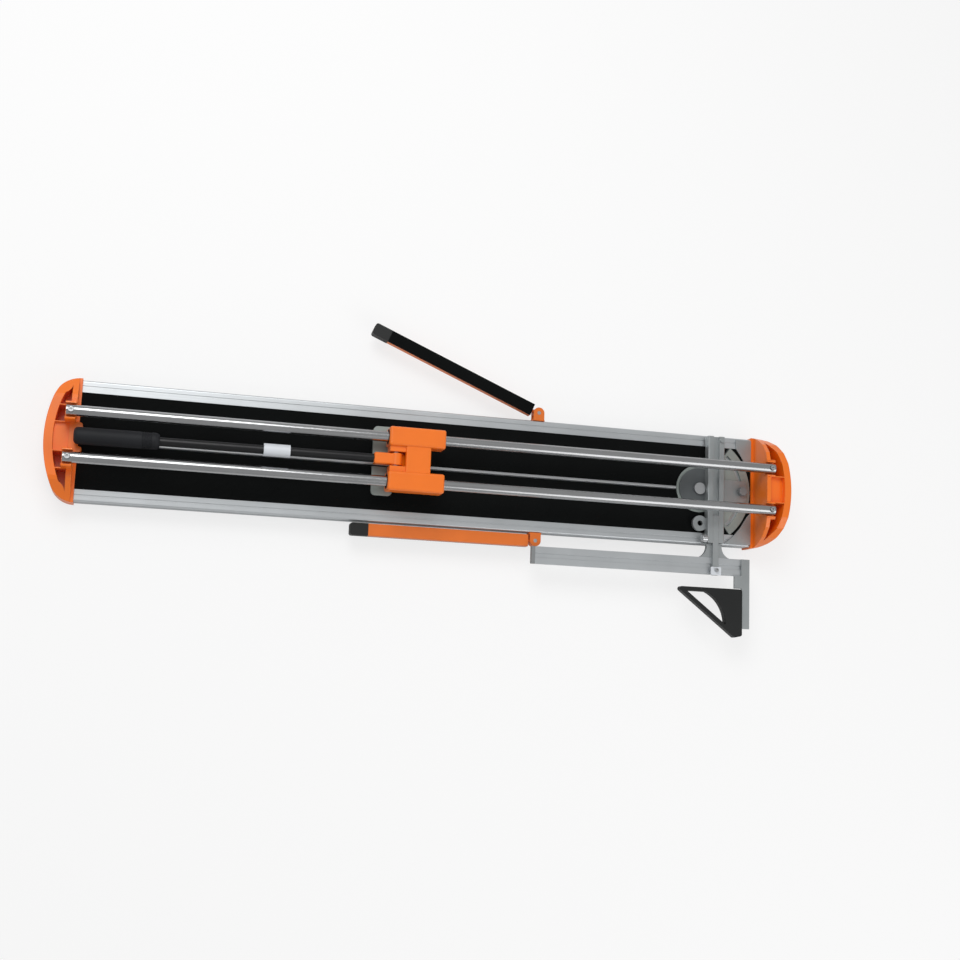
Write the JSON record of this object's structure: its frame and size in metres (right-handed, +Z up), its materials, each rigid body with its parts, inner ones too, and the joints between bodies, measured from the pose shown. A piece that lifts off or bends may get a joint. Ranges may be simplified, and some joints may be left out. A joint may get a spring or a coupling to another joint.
{
  "type": "tile cutter",
  "caption": "Manual rail tile cutter with scoring carriage, folding lever, breaker foot, swivelling measuring fence and swing-out side arms.",
  "frame": {"origin": "bottom centre of the round middle foot, on the floor", "axes": "+X along the cut towards the end with the measuring fence, +Y across the table away from the side ruler, +Z up"},
  "size_m": [1.58, 0.6274, 0.142],
  "materials": {
    "orange_paint": "smooth orange paint",
    "rail_chrome": "polished chrome",
    "profile_aluminium": "brushed, clear anodised",
    "fence_aluminium": "satin",
    "grey_plate": "satin grey",
    "plain_steel": "brushed",
    "mat_rubber": "fine ribbed",
    "foot_rubber": "matt",
    "black_paint": "satin black",
    "grip_rubber": "ringed soft grip",
    "white_plastic": "plain white",
    "black_plastic": "textured black",
    "bronze": "plain bearing bronze",
    "carbide": "ground",
    "orange_casting": "aluminium casting under smooth orange stove paint",
    "grey_plastic": "moulded grey"
  },
  "bodies": {
    "base": {"left_end_support": "orange_casting", "right_end_support": "orange_casting", "centre_spine": "profile_aluminium", "breaker_strip": "plain_steel", "far_side_profile": "profile_aluminium", "near_side_profile": "profile_aluminium", "far_table_plate": "profile_aluminium", "near_table_plate": "profile_aluminium", "far_rubber_pad": "mat_rubber", "near_rubber_pad": "mat_rubber", "cross_members": "black_paint", "cross_member_screws": "plain_steel", "far_guide_rail": "rail_chrome", "near_guide_rail": "rail_chrome", "rail_screws": "plain_steel", "corner_feet": "foot_rubber", "middle_foot": "foot_rubber", "far_corner_plate": "fence_aluminium", "near_corner_plate": "fence_aluminium", "angle_plate": "grey_plate", "swivel_stud": "plain_steel", "far_arm_bracket": "orange_paint", "near_arm_bracket": "orange_paint", "far_arm_hinge_pin": "plain_steel", "near_arm_hinge_pin": "plain_steel"},
    "carriage": {"carriage_body": "orange_casting", "rail_bushings": "bronze", "rail_wipers": "foot_rubber", "lever_pivot_pin": "plain_steel", "return_bellows": "foot_rubber"},
    "lever": {"lever_head": "orange_casting", "lever_bar": "black_paint", "lever_grip": "grip_rubber", "lever_collar": "white_plastic", "wheel_holder": "plain_steel", "wheel_axle": "plain_steel"},
    "wheel": {"scoring_wheel": "carbide"},
    "breaker": {"breaker_foot": "grey_plate", "breaker_shoes": "foot_rubber", "foot_guide_pins": "plain_steel"},
    "fence": {"fence_turntable": "grey_plate", "fence_bar": "fence_aluminium", "fence_pointer": "fence_aluminium"},
    "fence_knob": {"fence_lock_knob": "grey_plastic"},
    "lock_screw": {"slider_lock_screw": "plain_steel"},
    "stop": {"sliding_bar": "fence_aluminium", "ruler_clamp": "white_plastic", "ruler_screw": "plain_steel", "side_ruler": "profile_aluminium", "ruler_end_caps": "grey_plastic"},
    "square": {"square_plate": "fence_aluminium", "triangle_grip": "black_plastic"},
    "near_knuckle": {"near_arm_knuckle": "orange_paint"},
    "near_arm": {"near_arm_channel": "orange_paint", "near_arm_tread": "mat_rubber", "near_arm_end_cap": "black_plastic"},
    "far_knuckle": {"far_arm_knuckle": "orange_paint"},
    "far_arm": {"far_arm_channel": "orange_paint", "far_arm_tread": "mat_rubber", "far_arm_end_cap": "black_plastic"}
  },
  "joints": [
    {"name": "carriage_slide", "type": "slide", "parent": "base", "child": "carriage", "axis": [1, 0, 0], "range_m": [-0.55, 0.6]},
    {"name": "lever_hinge", "type": "hinge", "parent": "carriage", "child": "lever", "pos_m": [-0.098, 0, 0.12], "axis": [0, 1, 0], "range_deg": [0, 48]},
    {"name": "wheel_spin", "type": "hinge", "parent": "lever", "child": "wheel", "pos_m": [-0.05746, 0, 0.09486], "axis": [0, 1, 0], "continuous": true},
    {"name": "breaker_press", "type": "slide", "parent": "carriage", "child": "breaker", "axis": [0, 0, -1], "range_m": [0, 0.022], "stiffness_N_per_m": 400, "springref_m": -0.02, "deforming": ["return_bellows"]},
    {"name": "fence_swivel", "type": "hinge", "parent": "base", "child": "fence", "pos_m": [0.6, 0, 0.056], "axis": [0, 0, 1], "range_deg": [-45, 8]},
    {"name": "fence_lock_turn", "type": "hinge", "parent": "fence", "child": "fence_knob", "pos_m": [0.702, 0, 0.06], "axis": [0, 0, 1], "continuous": true},
    {"name": "slider_lock_turn", "type": "hinge", "parent": "fence", "child": "lock_screw", "pos_m": [0.6, -0.112, 0.072], "axis": [1, 0, 0], "continuous": true},
    {"name": "stop_slide", "type": "slide", "parent": "fence", "child": "stop", "axis": [0, -1, 0], "range_m": [0, 0.06]},
    {"name": "square_slide", "type": "slide", "parent": "stop", "child": "square", "axis": [-1, 0, 0], "range_m": [0, 0.03]},
    {"name": "near_arm_swing", "type": "hinge", "parent": "base", "child": "near_knuckle", "pos_m": [0.226, -0.1395, 0.043], "axis": [0, 0, 1], "range_deg": [0, 100]},
    {"name": "near_arm_turn", "type": "hinge", "parent": "near_knuckle", "child": "near_arm", "pos_m": [0.226, -0.1395, 0.043], "axis": [1, 0, 0], "range_deg": [0, 180]},
    {"name": "far_arm_swing", "type": "hinge", "parent": "base", "child": "far_knuckle", "pos_m": [0.226, 0.1395, 0.043], "axis": [0, 0, 1], "range_deg": [-77.7, 22.3]},
    {"name": "far_arm_turn", "type": "hinge", "parent": "far_knuckle", "child": "far_arm", "pos_m": [0.226, 0.1395, 0.043], "axis": [-0.9252, 0.3795, 0], "range_deg": [0, 180]}
  ]
}
